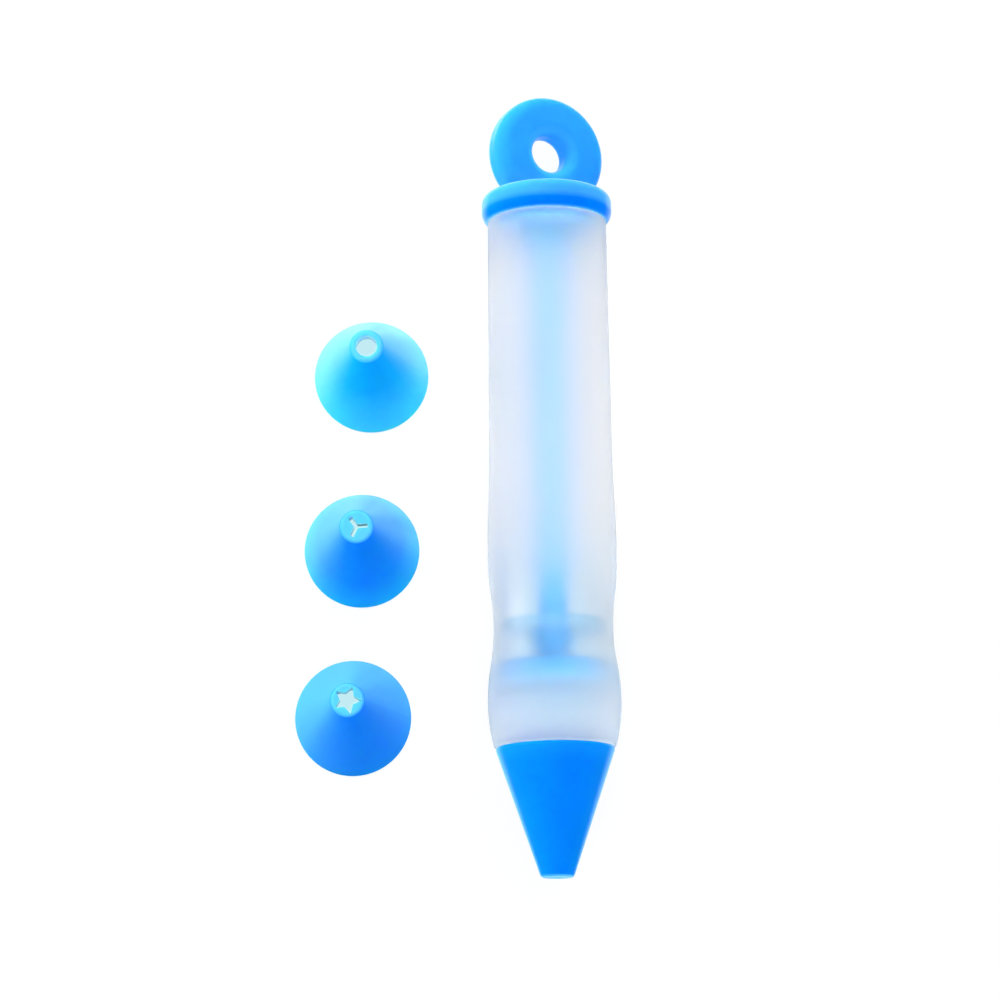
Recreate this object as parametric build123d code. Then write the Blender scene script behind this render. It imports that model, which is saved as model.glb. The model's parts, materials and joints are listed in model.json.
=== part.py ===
from build123d import *
from math import cos, sin, pi
import os

# Silicone decorating pen with its plunger pushed home, lying on its side, and three spare nozzles
# standing beside it. Millimetres, +Z up. The origin is on the table, under the middle of the whole
# set. The pen lies along Y, ring end towards +Y. Its turned pieces are drawn about Z, with the
# nozzle seat at zero and the ring end up, and are then laid down.

# Fits
running_clearance = 0.05      # seal in the bore, rod head in the seal
push_clearance = 0.05         # nozzle on the neck, plug in the mouth, rod in the ring cap
seat_gap = 0.05               # between faces that stop against each other
overrun = 1.0                 # how far a cutting tool runs past what it cuts

# Barrel, a soft tube with a squeeze bulb at the nozzle end
barrel_length = 101.8         # nozzle seat to open mouth
bore_r = 9.6
mouth_wall = 1.8
grip_wall = 2.08
grip_at = 58.0                # heights above the nozzle seat
ridge_wall = 2.6
ridge_at = 36.0
waist_wall = 1.65
waist_at = 22.5
bulb_swell = 0.9              # how much wider the chamber is than the bore
bulb_wall = 2.0
bulb_at = 8.6
shoulder_drop = 1.0           # from the bulb in to the shoulder that meets the nozzle
shoulder_round = 0.6
mouth_chamfer = 0.3
chamber_gap = 0.2             # the straight bore ends this far below the seal

# Neck that a nozzle pushes on to
neck_short = 0.1              # how far the neck stops short of the ledge in the nozzle
neck_wall = 1.5
rib_height = 0.2
rib_width = 1.1
rib_count = 2
neck_chamfer = 0.35

# Nozzles, all of one cone with different outlets
nozzle_height = 24.1
nozzle_step = 0.45            # how far the nozzle's rim lies inside the barrel's shoulder
nozzle_tip_r = 3.05
nozzle_tip_round = 0.8
nozzle_rim = 0.6              # straight stretch at the open end
nozzle_rim_round = 0.25
nozzle_wall = 1.9             # measured level, beyond the socket
socket_depth = 5.0
socket_wall = 1.2             # the thinnest wall round the socket
end_wall = 2.4
writing_outlet_r = 0.8
round_outlet_r = 2.0
tri_arm_length = 2.1
tri_arm_width = 0.85
tri_arms = 3
tri_turn = 5                  # degrees
star_outer_r = 2.68
star_inner_r = 1.4
star_points = 5
star_turn = -4                # degrees

# Pull ring with the flange and plug that close the mouth
flange_thickness = 5.5
flange_round = 2.0            # on the ring's side
flange_bevel = 2.0            # height of the sloping edge on the barrel's side
flange_bevel_in = 1.0         # how far that edge slopes inward
ring_inset = 1.1              # how far the ring stays inside the flange
ring_thickness = 7.0
ring_corner_r = 2.6
ring_sink_share = 0.63        # of the flange's thickness
ring_turn = 25                # degrees about the pen's axis, as it lies in the photograph
ring_blend = 0.7              # rounding where the ring meets the flange
hanging_hole_r = 3.6
plug_depth = 1.6
plug_chamfer = 0.35
boss_length = 3.9
boss_root_wall = 1.6
boss_end_wall = 0.6
socket_share = 0.7            # how far the rod reaches into the flange, of its thickness

# Plunger rod
rod_top_r = 3.6
rod_low_r = 3.4
rod_step_at = 34.3            # height above the nozzle seat where the rod steps down
rod_step_length = 1.5
shank_r = 2.7
collar_height = 0.45          # how far the collar stands out of the rod, inside the ring cap
collar_length = 1.6
head_r = 3.6
head_tip_r = 2.3
head_length = 8.9
head_chamfer = 0.5

# Piston seal, with two lips and a waist
seal_bottom = 11.6            # height of its underside above the nozzle seat
seal_length = 12.3
upper_lip = 2.7
lower_lip = 4.1
lip_round = 0.9
waist_round = 0.5             # where its waist meets its lips
seal_floor = 1.8
seal_wall = 1.2
seal_dish = 0.7               # hollow in its underside

# Spare nozzles: distance left of the pen's axis, and up from the nozzle seat towards the ring
round_spare_left = 34.4
round_spare_up = 74.7
tri_spare_left = 36.4
tri_spare_up = 40.2
star_spare_left = 38.2
star_spare_up = 7.75

# Worked out from the sizes above
chamber_r = bore_r + bulb_swell
bulb_r = chamber_r + bulb_wall
shoulder_r = bulb_r - shoulder_drop
flange_r = bulb_r
axis_height = bulb_r
nozzle_base_r = shoulder_r - nozzle_step
nozzle_taper = (nozzle_base_r - nozzle_tip_r) / (nozzle_height - nozzle_rim)
cone_r_at_socket = nozzle_base_r - nozzle_taper * (socket_depth - nozzle_rim)
socket_r = cone_r_at_socket - socket_wall
core_base_r = cone_r_at_socket - nozzle_wall
core_height = nozzle_height - end_wall
core_tip_r = nozzle_tip_r + nozzle_taper * end_wall - nozzle_wall
neck_rib_r = socket_r - push_clearance
neck_r = neck_rib_r - rib_height
neck_bore_r = neck_r - neck_wall
neck_length = socket_depth - seat_gap - neck_short
ring_outer_r = flange_r - ring_inset
ring_middle_r = (ring_outer_r + hanging_hole_r) / 2
ring_width = ring_outer_r - hanging_hole_r
ring_centre = flange_thickness * (1 - ring_sink_share) + ring_outer_r
flange_bottom = barrel_length + seat_gap
rod_top = flange_bottom + flange_thickness * socket_share
seal_r = bore_r - running_clearance
head_bottom = seal_bottom + seal_floor + running_clearance
head_top = head_bottom + head_length
nozzle_reach = seat_gap + nozzle_height
ring_reach = flange_bottom + ring_centre + ring_outer_r
spare_reach = max(round_spare_left, tri_spare_left, star_spare_left) + nozzle_base_r
pen_x = (spare_reach - flange_r) / 2
seat_y = (nozzle_reach - ring_reach) / 2

laid_down = Location((pen_x, seat_y, axis_height), (-90, 0, 0))
fitted = Location((pen_x, seat_y - seat_gap, axis_height), (90, 0, 0))


def turned(*edges):
    """A solid turned about Z from an outline drawn as radius and height."""
    return revolve(Plane.XZ * make_face(Curve() + list(edges)), Axis.Z)


def swell(start, end):
    """Two equal arcs that leave one point and reach the other parallel to the axis."""
    middle = ((start[0] + end[0]) / 2, (start[1] + end[1]) / 2)
    first = TangentArc(start, middle, tangent=(0, end[1] - start[1]))
    return [first, TangentArc(middle, end, tangent=first % 1)]


def barrel_wall():
    """The outside of the tube, from its open mouth down to the corner of the shoulder."""
    mouth = (bore_r + mouth_wall, barrel_length)
    grip = (bore_r + grip_wall, grip_at)
    ridge = (bore_r + ridge_wall, ridge_at)
    waist = (bore_r + waist_wall, waist_at)
    bulb = (bulb_r, bulb_at)
    shoulder = (shoulder_r, shoulder_round)
    corner = (shoulder_r - shoulder_round, 0)
    edges = [Line(mouth, grip)]
    edges += swell(grip, ridge)
    edges += swell(ridge, waist)
    edges += swell(waist, bulb)
    edges.append(TangentArc(bulb, shoulder, tangent=(0, -1)))
    edges.append(RadiusArc(shoulder, corner, shoulder_round))
    return edges


def neck_outside():
    """From the shoulder's corner along the neck and its sealing ribs to its end."""
    rib_pitch = neck_length / (rib_count + 1)
    stops = [(neck_r, 0)]
    edges = [Line((shoulder_r - shoulder_round, 0), stops[0])]
    for rib in range(rib_count):
        middle = -rib_pitch * (rib + 1)
        start = (neck_r, middle + rib_width / 2)
        end = (neck_r, middle - rib_width / 2)
        edges.append(Line(stops[-1], start))
        edges.append(ThreePointArc(start, (neck_rib_r, middle), end))
        stops.append(end)
    chamfer_start = (neck_r, neck_chamfer - neck_length)
    chamfer_end = (neck_r - neck_chamfer, -neck_length)
    edges.append(Line(stops[-1], chamfer_start))
    edges.append(Line(chamfer_start, chamfer_end))
    edges.append(Line(chamfer_end, (neck_bore_r, -neck_length)))
    return edges


def barrel_bore():
    """From the neck's end through the chamber and the straight bore to the mouth."""
    throat = (neck_bore_r, 0)
    chamber = (chamber_r, bulb_at)
    bore_end = (bore_r, seal_bottom - chamber_gap)
    mouth_in = (bore_r, barrel_length - mouth_chamfer)
    mouth_out = (bore_r + mouth_chamfer, barrel_length)
    edges = [Line((neck_bore_r, -neck_length), throat)]
    edges.append(TangentArc(chamber, throat, tangent=(0, -1)))
    edges += swell(chamber, bore_end)
    edges.append(Line(bore_end, mouth_in))
    edges.append(Line(mouth_in, mouth_out))
    edges.append(Line(mouth_out, (bore_r + mouth_wall, barrel_length)))
    return edges


def barrel():
    return laid_down * turned(*barrel_wall(), *neck_outside(), *barrel_bore())


def circles(solid, low_r, high_r):
    """The solid's round edges with a radius between these two."""
    return [edge for edge in solid.edges().filter_by(GeomType.CIRCLE) if low_r < edge.radius < high_r]


def piston_seal():
    top = seal_bottom + seal_length
    waist_high = top - upper_lip
    waist_low = seal_bottom + lower_lip
    opening_r = shank_r + running_clearance
    cavity_r = head_r + running_clearance
    cavity_tip_r = head_tip_r + running_clearance
    cavity_floor = head_bottom - running_clearance
    cavity_roof = head_top + running_clearance
    body = turned(*Polyline(
        (0, seal_bottom + seal_dish),
        (seal_r - lip_round, seal_bottom),
        (seal_r, seal_bottom),
        (seal_r, waist_low),
        (head_tip_r + seal_wall, waist_low),
        (head_r + seal_wall, waist_high),
        (seal_r, waist_high),
        (seal_r, top),
        (0, top),
        close=True,
    ).edges())
    body = fillet(circles(body, head_tip_r, head_r + seal_wall * 2), waist_round)
    body = fillet(circles(body, seal_r - running_clearance, bore_r), lip_round)
    cavity = turned(*Polyline(
        (0, cavity_floor),
        (cavity_tip_r, cavity_floor),
        (cavity_r, cavity_roof),
        (opening_r, cavity_roof),
        (opening_r, top + overrun),
        (0, top + overrun),
        close=True,
    ).edges())
    return laid_down * (body - cavity)


def plunger_rod():
    collar_r = rod_top_r + collar_height
    outline = Polyline(
        (0, head_bottom),
        (head_tip_r - head_chamfer, head_bottom),
        (head_tip_r, head_bottom + head_chamfer),
        (head_r, head_top),
        (shank_r, head_top),
        (shank_r, rod_step_at - rod_step_length),
        (rod_low_r, rod_step_at),
        (rod_top_r, flange_bottom - plug_depth - boss_length),
        (rod_top_r, rod_top - collar_length),
        (collar_r, rod_top - collar_length),
        (rod_top_r, rod_top),
        (0, rod_top),
        close=True,
    )
    return laid_down * turned(*outline.edges())


def pull_ring():
    boss_root = flange_bottom - plug_depth
    boss_end = boss_root - boss_length
    plug_r = bore_r - push_clearance
    flange_top = flange_bottom + flange_thickness
    bevel_start = (flange_r, flange_bottom + flange_bevel)
    bevel_end = (flange_r - flange_bevel_in, flange_bottom)
    round_start = (flange_r, flange_top - flange_round)
    round_end = (flange_r - flange_round, flange_top)
    flange = turned(
        Line((0, flange_bottom), bevel_end),
        TangentArc(bevel_start, bevel_end, tangent=(0, -1)),
        Line(bevel_start, round_start),
        TangentArc(round_start, round_end, tangent=(0, 1)),
        Line(round_end, (0, flange_top)),
        Line((0, flange_top), (0, flange_bottom)),
    )
    section = Pos(ring_middle_r, 0) * RectangleRounded(ring_width, ring_thickness, ring_corner_r)
    ring = Pos(0, 0, flange_bottom + ring_centre) * revolve(section, Axis.Y)
    handle = flange + ring
    blend_edges = [edge for edge in handle.edges() if abs(edge.center().Z - flange_top) < seat_gap]
    joints = [edge for edge in blend_edges if edge.geom_type != GeomType.CIRCLE]
    handle = fillet(joints, ring_blend)
    plug = turned(*Polyline(
        (0, flange_bottom + overrun),
        (plug_r, flange_bottom + overrun),
        (plug_r, boss_root + plug_chamfer),
        (plug_r - plug_chamfer, boss_root),
        (rod_top_r + boss_root_wall, boss_root),
        (rod_top_r + boss_end_wall, boss_end),
        (0, boss_end),
        close=True,
    ).edges())
    hole_r = rod_top_r + push_clearance
    collar_r = rod_top_r + collar_height + push_clearance
    collar_bottom = rod_top - collar_length - push_clearance
    roof = rod_top + push_clearance
    socket = turned(*Polyline(
        (0, boss_end - overrun),
        (hole_r, boss_end - overrun),
        (hole_r, collar_bottom),
        (collar_r, collar_bottom),
        (hole_r, roof),
        (0, roof),
        close=True,
    ).edges())
    cap = handle + plug - socket
    return laid_down * Rot(0, 0, ring_turn) * cap


def tri_outlet():
    arm = Rectangle(tri_arm_length, tri_arm_width, align=(Align.MIN, Align.CENTER))
    return Sketch() + [Rot(0, 0, tri_turn + turn * 360 / tri_arms) * arm for turn in range(tri_arms)]


def star_outlet():
    corners = []
    for corner in range(2 * star_points):
        angle = star_turn * pi / 180 + corner * pi / star_points
        reach = star_inner_r if corner % 2 else star_outer_r
        corners.append((reach * cos(angle), reach * sin(angle)))
    return make_face(Polyline(*corners, close=True))


def nozzle(outlet, outlet_reach):
    """A nozzle standing on its open end, its cavity widened to meet an outlet of the given reach."""
    cone = turned(*Polyline(
        (0, 0),
        (nozzle_base_r, 0),
        (nozzle_base_r, nozzle_rim),
        (nozzle_tip_r, nozzle_height),
        (0, nozzle_height),
        close=True,
    ).edges())
    cone = fillet(cone.edges().filter_by(GeomType.CIRCLE).sort_by(Axis.Z)[-1], nozzle_tip_round)
    cone = fillet(cone.edges().filter_by(GeomType.CIRCLE).sort_by(Axis.Z)[0], nozzle_rim_round)
    cavity = turned(*Polyline(
        (0, -overrun),
        (socket_r, -overrun),
        (socket_r, socket_depth),
        (core_base_r, socket_depth),
        (core_tip_r, core_height),
        (0, core_height),
        close=True,
    ).edges())
    reach_depth = end_wall + max(0, outlet_reach - core_tip_r) / nozzle_taper
    channel = Pos(0, 0, nozzle_height - reach_depth) * extrude(outlet, reach_depth + overrun)
    return cone - cavity - channel


def standing(left, up):
    """Where a spare nozzle stands on the table."""
    return Location((pen_x - left, seat_y + up, 0))


writing_nozzle = nozzle(Circle(writing_outlet_r), writing_outlet_r)
round_nozzle = nozzle(Circle(round_outlet_r), round_outlet_r)
tri_nozzle = nozzle(tri_outlet(), tri_arm_length)
star_nozzle = nozzle(star_outlet(), star_outer_r)

parts = {
    "barrel": barrel(),
    "piston_seal": piston_seal(),
    "plunger_rod": plunger_rod(),
    "pull_ring": pull_ring(),
    "writing_nozzle": fitted * writing_nozzle,
    "round_nozzle": standing(round_spare_left, round_spare_up) * round_nozzle,
    "tri_nozzle": standing(tri_spare_left, tri_spare_up) * tri_nozzle,
    "star_nozzle": standing(star_spare_left, star_spare_up) * star_nozzle,
}

os.makedirs("parts", exist_ok=True)
for name, solid in parts.items():
    export_step(solid, f"parts/{name}.step")
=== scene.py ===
import bpy
import json
from math import cos, radians, sin
from mathutils import Matrix, Vector

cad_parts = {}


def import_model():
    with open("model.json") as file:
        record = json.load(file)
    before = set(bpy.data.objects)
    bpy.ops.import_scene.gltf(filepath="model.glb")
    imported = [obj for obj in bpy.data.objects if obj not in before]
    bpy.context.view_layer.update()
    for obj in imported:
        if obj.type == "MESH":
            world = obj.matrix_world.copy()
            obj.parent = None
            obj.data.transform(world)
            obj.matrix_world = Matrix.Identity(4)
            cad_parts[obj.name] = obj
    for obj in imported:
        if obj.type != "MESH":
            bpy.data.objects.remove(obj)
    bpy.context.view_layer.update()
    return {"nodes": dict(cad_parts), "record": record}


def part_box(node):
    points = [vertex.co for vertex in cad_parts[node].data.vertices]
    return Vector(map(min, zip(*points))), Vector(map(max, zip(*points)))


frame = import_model()

# Everything is in metres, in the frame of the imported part: the pen lies along Y with its ring towards
# +Y, and the spare nozzles stand at its -X side.
MM = 0.001

# Camera, fitted to the pen's outline and to the way the spare nozzles' tips lean. Its lens and sensor are in
# millimetres, as Blender has them.
LENS = 114.48
SENSOR = 36.0
CAMERA_DISTANCE = 602 * MM
CAMERA_TILT = radians(12.2)         # from straight down, towards the nozzle's side
CAMERA_ROLL = radians(-0.749)
CAMERA_CLIP = (10 * MM, 20.0)       # the nearest and the furthest that it sees
AIM = Vector((8.66 * MM, -3.965 * MM, 12.5 * MM))

# Light: a faint even surround, and soft boxes, the strongest of them between the ring's side and the spare
# nozzles' side
AMBIENT = 0.35                      # of the world as a light; the camera sees it plain white
SOFT_BOX_SIZE = 0.22
SOFT_BOX_DISTANCE = 0.38
SOFT_BOX_AIM = Vector((0, 0, 12 * MM))
SOFT_BOXES = {                      # turn from +Y towards -X and height, in degrees, and power
    "back": (0, 20, 0.57),
    "back_left": (45, 20, 0.82),
    "left": (90, 20, 0.66),
    "front": (180, 50, 0.63),
    "back_right": (-45, 50, 0.50),
    "top": (0, 88, 0.27),
}
UNSEEN_THROUGH = ("back", "back_left", "left")      # low ones, whose light the barrel doesn't let through
UNMIRRORED = ("back", "back_left")                  # those whose mirror images would glare
LIGHT_BOUNCES = 24                  # enough to leave the seal through its own walls and the barrel's

# Floor: white, and bluer where it is shut in, as light there has come through silicone. Its look follows how
# open a spot is, from 0, where all that it sees lies within OPEN_REACH, to 1, where nothing does.
FLOOR_SIZE = 4.0
FLOOR_DROP = 0.02 * MM              # keeps it clear of what stands on it
FLOOR_WHITE = (0.92, 0.92, 0.92)
FLOOR_GLOW = 0.90                   # share of its look that is plain white
OPEN_REACH = 30 * MM
OPEN_SAMPLES = 8
OPEN_LOOK = ((0.1, (0.60, 0.92, 1.0)), (0.3, (1.0, 1.0, 1.0)))

# Shades of the blue silicone, from foot to tip: (share of the way, colour). Each nozzle is painted paler at
# its rim and its tip, a painted glow that stands for light coming through the thin silicone there, and the
# plug below the ring's flange is paler than the flange.
PALE = (0.10, 0.52, 1.0)
TIP_START = 0.98                    # where the rounding of a nozzle's tip starts
TIP_FACE = 0.999                    # where its flat face does


def cone_blues(green, rim, rim_share):
    """Shades of a nozzle whose body has that green in it, from the rim's up to that share of the way."""
    body = (0.001, green, 1.0)
    return ((0.0, rim), (rim_share, body), (TIP_START, body), (TIP_FACE, PALE))


BLUES = {
    # On the ring, the flange's side towards the barrel is painted deep, a painted shade, and the plug below
    # it and the ring above it are painted paler, painted light.
    "pull_ring": ((0.115, (0.08, 0.44, 1.0)), (0.127, (0.17, 0.56, 1.0)), (0.175, (0.12, 0.58, 1.0)),
                  (0.19, (0.0, 0.20, 1.0)), (0.235, (0.0, 0.20, 1.0)),
                  (0.275, (0.045, 0.34, 1.0)), (0.36, (0.05, 0.37, 1.0)), (0.5, (0.024, 0.33, 1.0))),
    "writing_nozzle": cone_blues(0.225, (0.004, 0.29, 1.0), 0.15),
    # The spares' bodies and rims are painted in different shades, painted light for how much light falls on
    # each: the round one palest and the star deepest.
    "round_nozzle": cone_blues(0.35, (0.035, 0.52, 1.0), 0.6),
    "tri_nozzle": cone_blues(0.21, (0.006, 0.36, 1.0), 0.4),
    "star_nozzle": cone_blues(0.18, (0.001, 0.21, 1.0), 0.2),
}

# Bloom of the blue silicone: its strength, from surfaces that face the eye to those seen edge on, and its
# tint on each piece
BLOOM = ((0.54, 0.0), (0.69, 0.9), (0.9, 0.95))
BLOOM_TINTS = {
    "pull_ring": (0.50, 0.66, 1.0),
    "writing_nozzle": (0.42, 0.80, 1.0),
    "round_nozzle": (0.50, 0.78, 1.0),
    "tri_nozzle": (0.38, 0.82, 1.0),
    "star_nozzle": (0.26, 0.90, 1.0),
}

# Walls of the holes, which are paler as light reaches them through thin silicone: how far from the hole's
# axis that colour holds, how far away it has faded out, and the colour. In a nozzle it stops at the tip's
# face.
OUTLET_WALL = (0.45, 0.88, 1.0)
SPARE_WALL = (2.6 * MM, 2.7 * MM, OUTLET_WALL)
HOLE_WALLS = {
    "pull_ring": (4.2 * MM, 5.6 * MM, (0.05, 0.44, 1.0)),
    "writing_nozzle": (1.0 * MM, 1.2 * MM, OUTLET_WALL),
    "round_nozzle": SPARE_WALL,
    "tri_nozzle": SPARE_WALL,
    "star_nozzle": SPARE_WALL,
}
WALL_END = ((0.992, 1.0), (0.998, 0.0))

# From one end to the other: (share of the way, value). The barrel runs from its neck to its mouth, and is
# smoothest at the waist, where the seal presses on it, and at the mouth, where the plug does. Its shoulder
# is thick and painted darker, a painted shade at its join with the nozzle; from its bulb up past the seal it
# is painted darker and bluer, painted blue light that the nozzle and the seal cast into it; and its mouth is
# painted with the ring's blue, a painted reflection of the ring. The rod runs from its head, which is
# deepest.
# The seal runs from its lower lip, and can be seen through: its body is the share of it that can't.
BARREL_CLEAR = 0.98
BARREL_FROST = ((0.165, 0.75), (0.20, 0.40), (0.28, 0.36), (0.36, 0.60), (0.46, 0.70), (0.95, 0.70),
                (0.98, 0.5))
BARREL_TINT = ((0.050, (0.88, 0.92, 0.97)), (0.057, (0.95, 0.97, 0.98)), (0.13, (0.87, 0.91, 0.96)),
               (0.18, (0.84, 0.93, 1.0)), (0.28, (0.87, 0.935, 1.0)), (0.45, (0.965, 0.945, 0.95)),
               (0.9955, (0.965, 0.945, 0.95)), (0.9972, (0.40, 0.78, 1.0)))
# The rod is painted deepest at its head and paler up towards the ring: painted shade and light for how light
# reaches it inside the barrel.
ROD_TINT = ((0.09, (0.0, 0.49, 1.0)), (0.12, (0.01, 0.48, 1.0)), (0.20, (0.06, 0.49, 1.0)),
            (0.24, (0.18, 0.51, 1.0)))
SEAL_BODY = ((0.33, 0.50), (0.38, 0.32), (0.72, 0.32), (0.78, 0.30))
# The seal is painted paler at its lower end and from its upper lip on: painted light against the shade that
# falls on those ends inside the barrel.
SEAL_TINT = ((0.0, (0.20, 0.74, 1.0)), (0.20, (0.0, 0.54, 1.0)), (0.33, (0.0, 0.54, 1.0)),
             (0.38, (0.0, 0.64, 1.0)), (0.72, (0.0, 0.64, 1.0)), (0.78, (0.25, 0.76, 1.0)))

SILICONE_IOR = 1.41
PLASTIC_IOR = 1.46

# Fine relief of each finish: blobs per metre, depth and strength
GRAINS = {
    "frosted_silicone": (2600, 0.05 * MM, 0.15),
    "seal_silicone": (2600, 0.05 * MM, 0.1),
    "rod_plastic": (2000, 0.03 * MM, 0.1),
    "blue_silicone": (2200, 0.05 * MM, 0.12),
}
GRAIN_DETAIL = 2.0

# Faint clouds in the colour of each finish: blobs per metre, and the share of the colour left in the darkest
CLOUDS = {
    "frosted_silicone": (90, 0.97),
    "seal_silicone": (120, 0.95),
    "rod_plastic": (150, 0.95),
    "blue_silicone": (120, 0.94),
}
CLOUD_DETAIL = 3.0
CLOUD_SPAN = (0.3, 0.7)             # the values of the noise that stand for the darkest and the plain colour

# Places of the colour sockets on a Mix node, which share their names with its other sockets
MIX_FIRST = 6
MIX_SECOND = 7
MIX_RESULT = 2


def principled(name, settings):
    """A new material with these values on its shader, and the parts of its tree that callers need."""
    material = bpy.data.materials.new(name)
    material.use_nodes = True
    shader = material.node_tree.nodes["Principled BSDF"]
    for socket, value in settings.items():
        shader.inputs[socket].default_value = value
    return material, material.node_tree, shader


def add(tree, kind, settings=None, **sockets):
    """A node of that kind with its properties and the values of its input sockets."""
    node = tree.nodes.new(kind)
    for key, value in (settings or {}).items():
        setattr(node, key, value)
    for key, value in sockets.items():
        node.inputs[key.replace("_", " ")].default_value = value
    return node


def ramp(tree, source, stops):
    """Colours read off a value, from a list of (place, colour)."""
    node = tree.nodes.new("ShaderNodeValToRGB")
    elements = node.color_ramp.elements
    while len(elements) < len(stops):
        elements.new(1.0)
    for element, (place, colour) in zip(elements, stops):
        element.position = place
        element.color = (*colour, 1)
    tree.links.new(source, node.inputs["Fac"])
    return node.outputs["Color"]


def levels(tree, source, stops):
    """Plain values read off another value, from a list of (place, value)."""
    return ramp(tree, source, [(place, (value,) * 3) for place, value in stops])


def noise(tree, scale, detail):
    """Noise in the part's own coordinates, with scale in blobs per metre."""
    place = tree.nodes.new("ShaderNodeTexCoord")
    texture = add(tree, "ShaderNodeTexNoise", Scale=scale, Detail=detail)
    tree.links.new(place.outputs["Object"], texture.inputs["Vector"])
    return texture.outputs["Fac"]


def grain(tree, shader, scale, depth, strength):
    """Fine relief on a surface, with blobs of that depth."""
    bump = add(tree, "ShaderNodeBump", Strength=strength, Distance=depth)
    tree.links.new(noise(tree, scale, GRAIN_DETAIL), bump.inputs["Height"])
    tree.links.new(bump.outputs["Normal"], shader.inputs["Normal"])


def along(tree, axis, start, end):
    """0 at start and 1 at end, both places along that axis of the part."""
    place = tree.nodes.new("ShaderNodeTexCoord")
    split = tree.nodes.new("ShaderNodeSeparateXYZ")
    share = add(tree, "ShaderNodeMapRange", From_Min=start, From_Max=end)
    tree.links.new(place.outputs["Object"], split.inputs[0])
    tree.links.new(split.outputs[axis], share.inputs["Value"])
    return share.outputs["Result"]


def from_axis(tree, point, axis):
    """How far a surface lies from the axis of the part that goes through that point."""
    place = tree.nodes.new("ShaderNodeTexCoord")
    offset = add(tree, "ShaderNodeVectorMath", {"operation": "SUBTRACT"})
    offset.inputs[1].default_value = point
    across = add(tree, "ShaderNodeVectorMath", {"operation": "CROSS_PRODUCT"})
    across.inputs[1].default_value = axis
    length = add(tree, "ShaderNodeVectorMath", {"operation": "LENGTH"})
    tree.links.new(place.outputs["Object"], offset.inputs[0])
    tree.links.new(offset.outputs["Vector"], across.inputs[0])
    tree.links.new(across.outputs["Vector"], length.inputs[0])
    return length.outputs["Value"]


def clouded(tree, shader, colour, scale, least):
    """Gives the shader that colour with faint clouds in it, down to that share of it."""
    darkest, plain = CLOUD_SPAN
    shade = levels(tree, noise(tree, scale, CLOUD_DETAIL), ((darkest, least), (plain, 1.0)))
    mix = add(tree, "ShaderNodeMix", {"data_type": "RGBA", "blend_type": "MULTIPLY"}, Factor=1.0)
    tree.links.new(colour, mix.inputs[MIX_FIRST])
    tree.links.new(shade, mix.inputs[MIX_SECOND])
    tree.links.new(mix.outputs[MIX_RESULT], shader.inputs["Base Color"])


def surface(tree, shader, finish, colour):
    """Gives the shader that colour with the clouds and the relief of the finish."""
    clouded(tree, shader, colour, *CLOUDS[finish])
    grain(tree, shader, *GRAINS[finish])


def frosted_silicone():
    material, tree, shader = principled("frosted_silicone", {
        "IOR": SILICONE_IOR,
        "Transmission Weight": BARREL_CLEAR,
    })
    low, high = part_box("barrel")
    place = along(tree, "Y", low.y, high.y)
    tree.links.new(levels(tree, place, BARREL_FROST), shader.inputs["Roughness"])
    surface(tree, shader, "frosted_silicone", ramp(tree, place, BARREL_TINT))
    return material


def seal_silicone():
    material, tree, shader = principled("seal_silicone", {
        "Roughness": 0.5,
        "IOR": SILICONE_IOR,
    })
    low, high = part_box("piston_seal")
    place = along(tree, "Y", low.y, high.y)
    tree.links.new(levels(tree, place, SEAL_BODY), shader.inputs["Alpha"])
    surface(tree, shader, "seal_silicone", ramp(tree, place, SEAL_TINT))
    return material


def rod_plastic():
    material, tree, shader = principled("rod_plastic", {
        "Roughness": 0.45,
        "IOR": PLASTIC_IOR,
        "Specular IOR Level": 0.2,
    })
    low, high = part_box("plunger_rod")
    surface(tree, shader, "rod_plastic", ramp(tree, along(tree, "Y", low.y, high.y), ROD_TINT))
    return material


def blue_silicone(node):
    """Blue silicone, whose shade follows that node from its foot to its tip."""
    material, tree, shader = principled("blue_" + node, {
        "Roughness": 0.5,
        "IOR": SILICONE_IOR,
        "Specular IOR Level": 0.02,
        "Specular Tint": (0.2, 0.8, 1.0, 1.0),
        "Subsurface Weight": 1.0,
        "Subsurface Radius": (0.1, 0.25, 1.0),
        "Subsurface Scale": 5.0 * MM,
        "Sheen Roughness": 0.4,
        "Sheen Tint": (*BLOOM_TINTS[node], 1.0),
    })
    edge = tree.nodes.new("ShaderNodeLayerWeight")
    tree.links.new(levels(tree, edge.outputs["Facing"], BLOOM), shader.inputs["Sheen Weight"])
    share = along(tree, *blue_axis(node))
    surface(tree, shader, "blue_silicone", walled(tree, node, share, ramp(tree, share, BLUES[node])))
    return material


def blue_axis(node):
    """The axis that a blue node's shade follows, with the places where it starts and ends."""
    low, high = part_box(node)
    if node == "pull_ring":
        return "Y", low.y, high.y
    if node == "writing_nozzle":
        return "Y", high.y, low.y
    return "Z", low.z, high.z


def hole_axis(node):
    """A point on the axis of a blue node's hole, and that axis."""
    if node == "pull_ring":
        hole = next(mount for mount in frame["record"]["mounts"] if mount["name"] == "hanging_hole")
        return Vector(hole["pos_m"]), Vector(hole["axis"])
    low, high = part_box(node)
    axis = "XYZ".index(blue_axis(node)[0])
    return (low + high) / 2, Vector([float(index == axis) for index in range(3)])


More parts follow.
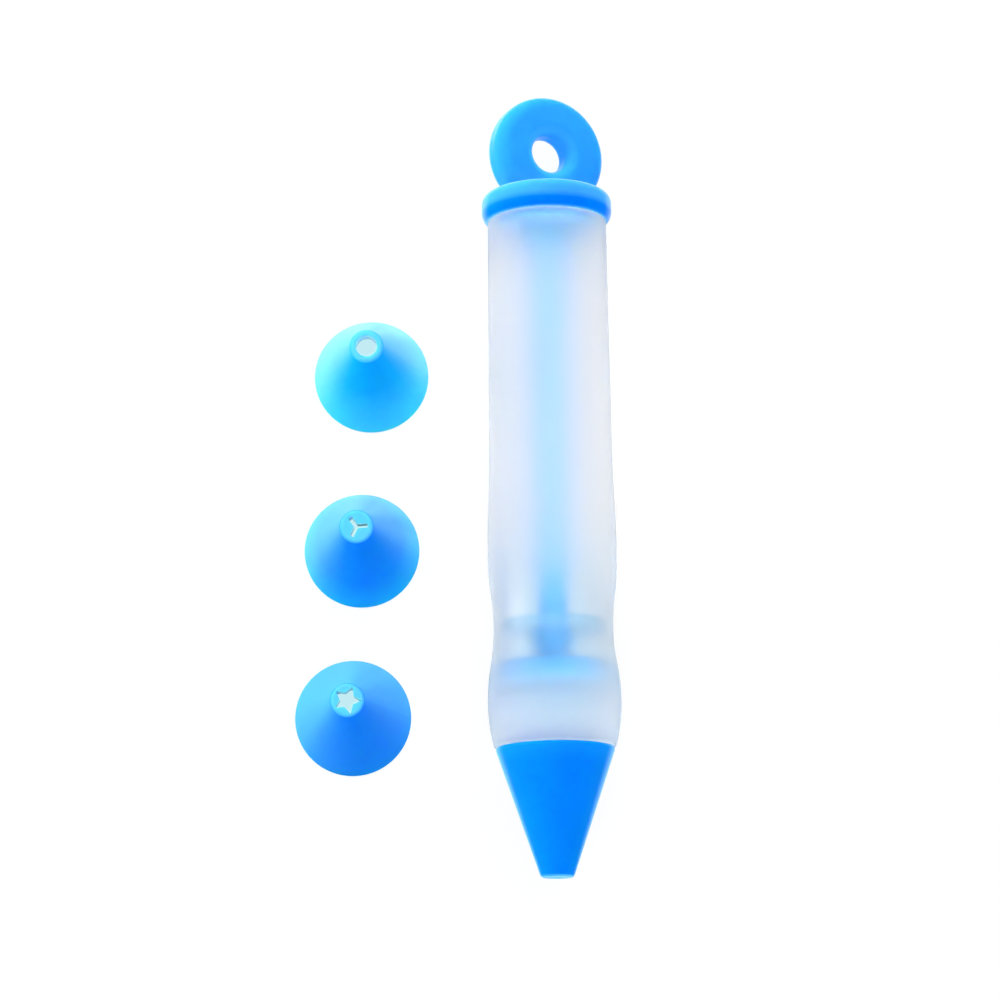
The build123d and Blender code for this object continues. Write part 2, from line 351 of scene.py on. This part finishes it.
def walled(tree, node, share, colour):
    """That colour, with the colour of the wall of the node's hole where the wall is."""
    held, faded, wall = HOLE_WALLS[node]
    near = add(tree, "ShaderNodeMapRange", From_Min=faded, From_Max=held)
    below_face = levels(tree, share, WALL_END)
    both = add(tree, "ShaderNodeMath", {"operation": "MULTIPLY"})
    mix = add(tree, "ShaderNodeMix", {"data_type": "RGBA"})
    mix.inputs[MIX_SECOND].default_value = (*wall, 1)
    tree.links.new(from_axis(tree, *hole_axis(node)), near.inputs["Value"])
    tree.links.new(near.outputs["Result"], both.inputs[0])
    tree.links.new(below_face, both.inputs[1])
    tree.links.new(both.outputs[0], mix.inputs["Factor"])
    tree.links.new(colour, mix.inputs[MIX_FIRST])
    return mix.outputs[MIX_RESULT]


def dress():
    finishes = {
        "barrel": ("frosted_silicone", frosted_silicone()),
        "piston_seal": ("seal_silicone", seal_silicone()),
        "plunger_rod": ("rod_plastic", rod_plastic()),
    }
    for node in BLUES:
        finishes[node] = ("blue_silicone", blue_silicone(node))
    for name, (slot, material) in finishes.items():
        node = frame["nodes"][name]
        node.data.materials.clear()
        node.data.materials.append(material)


def seen_directly(tree):
    """1 for a ray that comes from the camera, off a glossy surface or through glass, and 0 for any other."""
    path = tree.nodes.new("ShaderNodeLightPath")
    glossy = add(tree, "ShaderNodeMath", {"operation": "MAXIMUM"})
    through = add(tree, "ShaderNodeMath", {"operation": "MAXIMUM"})
    tree.links.new(path.outputs["Is Camera Ray"], glossy.inputs[0])
    tree.links.new(path.outputs["Is Glossy Ray"], glossy.inputs[1])
    tree.links.new(glossy.outputs[0], through.inputs[0])
    tree.links.new(path.outputs["Is Transmission Ray"], through.inputs[1])
    return through.outputs[0]


def floor():
    bpy.ops.mesh.primitive_plane_add(size=FLOOR_SIZE, location=(0, 0, -FLOOR_DROP))
    sheet = bpy.context.object
    sheet.name = "floor"
    material = bpy.data.materials.new("floor_white")
    material.use_nodes = True
    tree = material.node_tree
    tree.nodes.remove(tree.nodes["Principled BSDF"])
    white = add(tree, "ShaderNodeBsdfDiffuse", Color=(*FLOOR_WHITE, 1))
    glow = add(tree, "ShaderNodeEmission", Strength=1.0)
    openness = add(tree, "ShaderNodeAmbientOcclusion", {"samples": OPEN_SAMPLES}, Distance=OPEN_REACH)
    look = ramp(tree, openness.outputs["AO"], OPEN_LOOK)
    tree.links.new(look, glow.inputs["Color"])
    share = add(tree, "ShaderNodeMath", {"operation": "MULTIPLY"})
    share.inputs[1].default_value = FLOOR_GLOW
    mix = tree.nodes.new("ShaderNodeMixShader")
    tree.links.new(seen_directly(tree), share.inputs[0])
    tree.links.new(share.outputs[0], mix.inputs["Fac"])
    tree.links.new(white.outputs[0], mix.inputs[1])
    tree.links.new(glow.outputs[0], mix.inputs[2])
    tree.links.new(mix.outputs[0], tree.nodes["Material Output"].inputs["Surface"])
    material.cycles.emission_sampling = "NONE"      # its glow is a look, and lights nothing
    sheet.data.materials.append(material)


def world():
    made = bpy.data.worlds.new("studio")
    bpy.context.scene.world = made
    made.use_nodes = True
    made.cycles.sampling_method = "NONE"            # so that what shows through the barrel is this white too
    tree = made.node_tree
    soft = tree.nodes["Background"]
    soft.inputs["Color"].default_value = (1, 1, 1, 1)
    soft.inputs["Strength"].default_value = AMBIENT
    white = add(tree, "ShaderNodeBackground", Color=(1, 1, 1, 1), Strength=1.0)
    mix = tree.nodes.new("ShaderNodeMixShader")
    tree.links.new(seen_directly(tree), mix.inputs["Fac"])
    tree.links.new(soft.outputs[0], mix.inputs[1])
    tree.links.new(white.outputs[0], mix.inputs[2])
    tree.links.new(mix.outputs[0], tree.nodes["World Output"].inputs["Surface"])


def soft_boxes():
    for name, (turn, height, power) in SOFT_BOXES.items():
        level = cos(radians(height))
        way = Vector((-sin(radians(turn)) * level, cos(radians(turn)) * level, sin(radians(height))))
        lamp = bpy.data.lights.new(name, "AREA")
        lamp.shape = "DISK"
        lamp.size = SOFT_BOX_SIZE
        lamp.energy = power
        holder = bpy.data.objects.new(name, lamp)
        holder.location = SOFT_BOX_AIM + SOFT_BOX_DISTANCE * way
        holder.rotation_mode = "QUATERNION"
        holder.rotation_quaternion = (-way).to_track_quat("-Z", "Y")
        holder.visible_camera = False
        holder.visible_transmission = name not in UNSEEN_THROUGH
        holder.visible_glossy = name not in UNMIRRORED
        bpy.context.scene.collection.objects.link(holder)


def camera():
    data = bpy.data.cameras.new("camera")
    data.sensor_width = SENSOR
    data.lens = LENS
    data.clip_start, data.clip_end = CAMERA_CLIP
    eye = bpy.data.objects.new("camera", data)
    ahead = Vector((0, sin(CAMERA_TILT), -cos(CAMERA_TILT)))
    level = Vector((1, 0, 0))
    rise = Vector((0, cos(CAMERA_TILT), sin(CAMERA_TILT)))
    right = cos(CAMERA_ROLL) * level + sin(CAMERA_ROLL) * rise
    up = cos(CAMERA_ROLL) * rise - sin(CAMERA_ROLL) * level
    turn = Matrix((right, up, -ahead)).transposed().to_4x4()
    eye.matrix_world = Matrix.Translation(AIM - CAMERA_DISTANCE * ahead) @ turn
    bpy.context.scene.collection.objects.link(eye)
    bpy.context.scene.camera = eye


dress()
floor()
world()
soft_boxes()
camera()
scene = bpy.context.scene
scene.view_settings.view_transform = "Standard"
scene.cycles.max_bounces = LIGHT_BOUNCES
scene.cycles.glossy_bounces = LIGHT_BOUNCES
scene.cycles.transmission_bounces = LIGHT_BOUNCES
